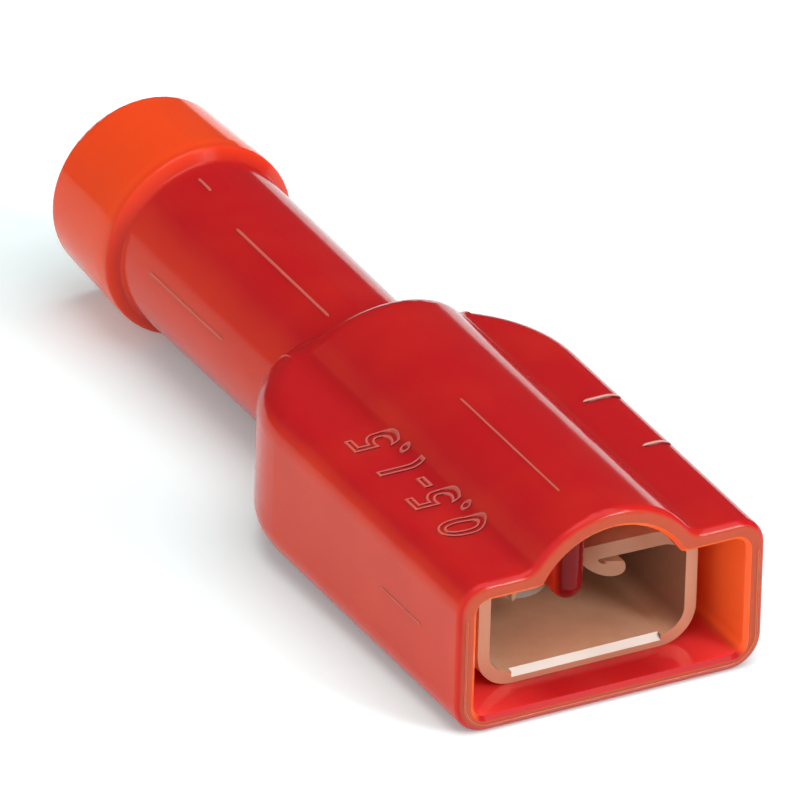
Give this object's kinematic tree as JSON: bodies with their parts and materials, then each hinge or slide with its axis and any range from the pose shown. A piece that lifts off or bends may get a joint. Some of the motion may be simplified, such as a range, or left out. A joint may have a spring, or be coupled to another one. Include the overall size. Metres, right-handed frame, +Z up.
{
  "type": "female spade terminal",
  "caption": "Fully insulated female spade terminal: a flat moulded hood with a raised arch over a folded metal receptacle, and a round barrel with a flared end for the wire.",
  "frame": {"origin": "middle of the bounding box in plan, level with the lowest point of the flared rear end", "axes": "+X along the part towards the mouth where the tab goes in, +Z up through the raised arch, Y = 0 is the plane of symmetry"},
  "size_m": [0.0228, 0.0078, 0.0055],
  "materials": {
    "nylon": "smooth moulded nylon, slightly translucent red",
    "tinned_brass": "tin plated, satin"
  },
  "bodies": {
    "root": {"housing": "nylon", "contact": "tinned_brass"}
  },
  "joints": []
}
